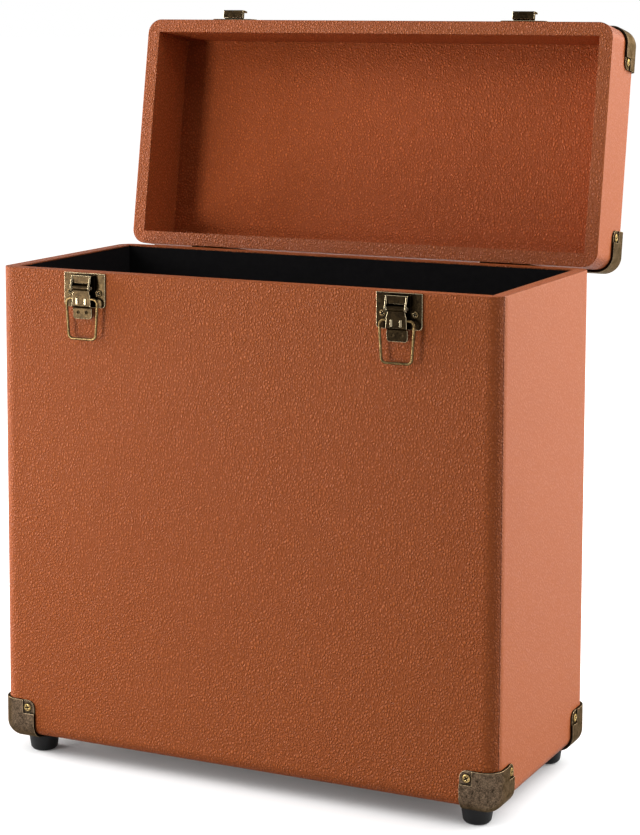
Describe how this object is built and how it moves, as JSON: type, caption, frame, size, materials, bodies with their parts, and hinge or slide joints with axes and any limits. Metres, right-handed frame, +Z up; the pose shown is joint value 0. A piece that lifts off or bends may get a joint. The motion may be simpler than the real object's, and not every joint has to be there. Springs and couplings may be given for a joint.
{
  "type": "record carrying case",
  "caption": "Leatherette-covered box for records with a hinged lid standing open, draw latches, metal corner protectors, rubber feet and a padded carrying handle",
  "frame": {"origin": "middle of the box's underside, on the leatherette between the feet", "axes": "+X to the right as seen from the front with the latches, +Y to the back with the hinges, +Z up"},
  "size_m": [0.3546, 0.2618, 0.4931],
  "materials": {
    "leatherette": "pebbled brown leatherette",
    "lid_leatherette": "pebbled brown leatherette, darker inside the lid",
    "grip_leatherette": "stitched brown leatherette over a padded core",
    "board": "bare fibreboard",
    "lining": "thin black lining cloth",
    "rubber": "matt black rubber",
    "antique_corner": "mottled antique brass plate, worn bright at the edges",
    "antique_brass": "dark antique brass plate, worn bright at the edges",
    "screw_brass": "antique brass plated screw",
    "steel": "plated steel"
  },
  "bodies": {
    "case": {"panel_front": "board", "panel_back": "board", "panel_left": "board", "panel_right": "board", "panel_base": "board", "cover_front": "leatherette", "cover_back": "leatherette", "cover_left": "leatherette", "cover_right": "leatherette", "cover_base": "leatherette", "body_lining": "lining", "foot_front_left": "rubber", "foot_front_right": "rubber", "foot_back_left": "rubber", "foot_back_right": "rubber", "foot_screws": "steel", "body_corner_front_left": "antique_corner", "body_corner_front_right": "antique_corner", "body_corner_back_left": "antique_corner", "body_corner_back_right": "antique_corner", "body_corner_screws": "screw_brass", "latch_plate_left": "antique_brass", "latch_plate_right": "antique_brass", "lever_pins": "steel", "latch_screws": "screw_brass", "hinge_body_leaf_left": "antique_brass", "hinge_body_leaf_right": "antique_brass", "hinge_pins": "steel", "hinge_body_screws": "screw_brass"},
    "lid": {"lid_panel_front": "board", "lid_panel_back": "board", "lid_panel_left": "board", "lid_panel_right": "board", "lid_panel_top": "board", "lid_cover": "leatherette", "lid_lining": "lid_leatherette", "lid_corner_front_left": "antique_corner", "lid_corner_front_right": "antique_corner", "lid_corner_back_left": "antique_corner", "lid_corner_back_right": "antique_corner", "lid_corner_screws": "screw_brass", "catch_left": "antique_brass", "catch_right": "antique_brass", "catch_screws": "screw_brass", "hinge_lid_leaf_left": "antique_brass", "hinge_lid_leaf_right": "antique_brass", "hinge_lid_screws": "screw_brass", "handle_bracket_left": "antique_brass", "handle_bracket_right": "antique_brass", "handle_pins": "steel", "handle_screws": "screw_brass"},
    "lever_left": {"latch_lever_left": "antique_brass"},
    "lever_right": {"latch_lever_right": "antique_brass"},
    "bail_left": {"latch_bail_left": "antique_brass"},
    "bail_right": {"latch_bail_right": "antique_brass"},
    "handle": {"handle_grip": "grip_leatherette", "handle_end_left": "antique_brass", "handle_end_right": "antique_brass"}
  },
  "joints": [
    {"name": "lid_hinge", "type": "hinge", "parent": "case", "child": "lid", "pos_m": [0, 0.086, 0.3095], "axis": [1, 0, 0], "range_deg": [0, 99.5]},
    {"name": "lever_left_pivot", "type": "hinge", "parent": "case", "child": "lever_left", "pos_m": [-0.10975, -0.0862, 0.3042], "axis": [-1, 0, 0], "range_deg": [0, 150]},
    {"name": "bail_left_pivot", "type": "hinge", "parent": "lever_left", "child": "bail_left", "pos_m": [-0.10975, -0.0854, 0.297], "axis": [1, 0, 0], "range_deg": [-180, 6]},
    {"name": "lever_right_pivot", "type": "hinge", "parent": "case", "child": "lever_right", "pos_m": [0.10975, -0.0862, 0.3042], "axis": [-1, 0, 0], "range_deg": [0, 150]},
    {"name": "bail_right_pivot", "type": "hinge", "parent": "lever_right", "child": "bail_right", "pos_m": [0.10975, -0.0854, 0.297], "axis": [1, 0, 0], "range_deg": [-180, 6]},
    {"name": "handle_swing", "type": "hinge", "parent": "lid", "child": "handle", "pos_m": [0, 0.16539, 0.38341], "axis": [1, 0, 0], "range_deg": [-7.5, 168.5]}
  ]
}
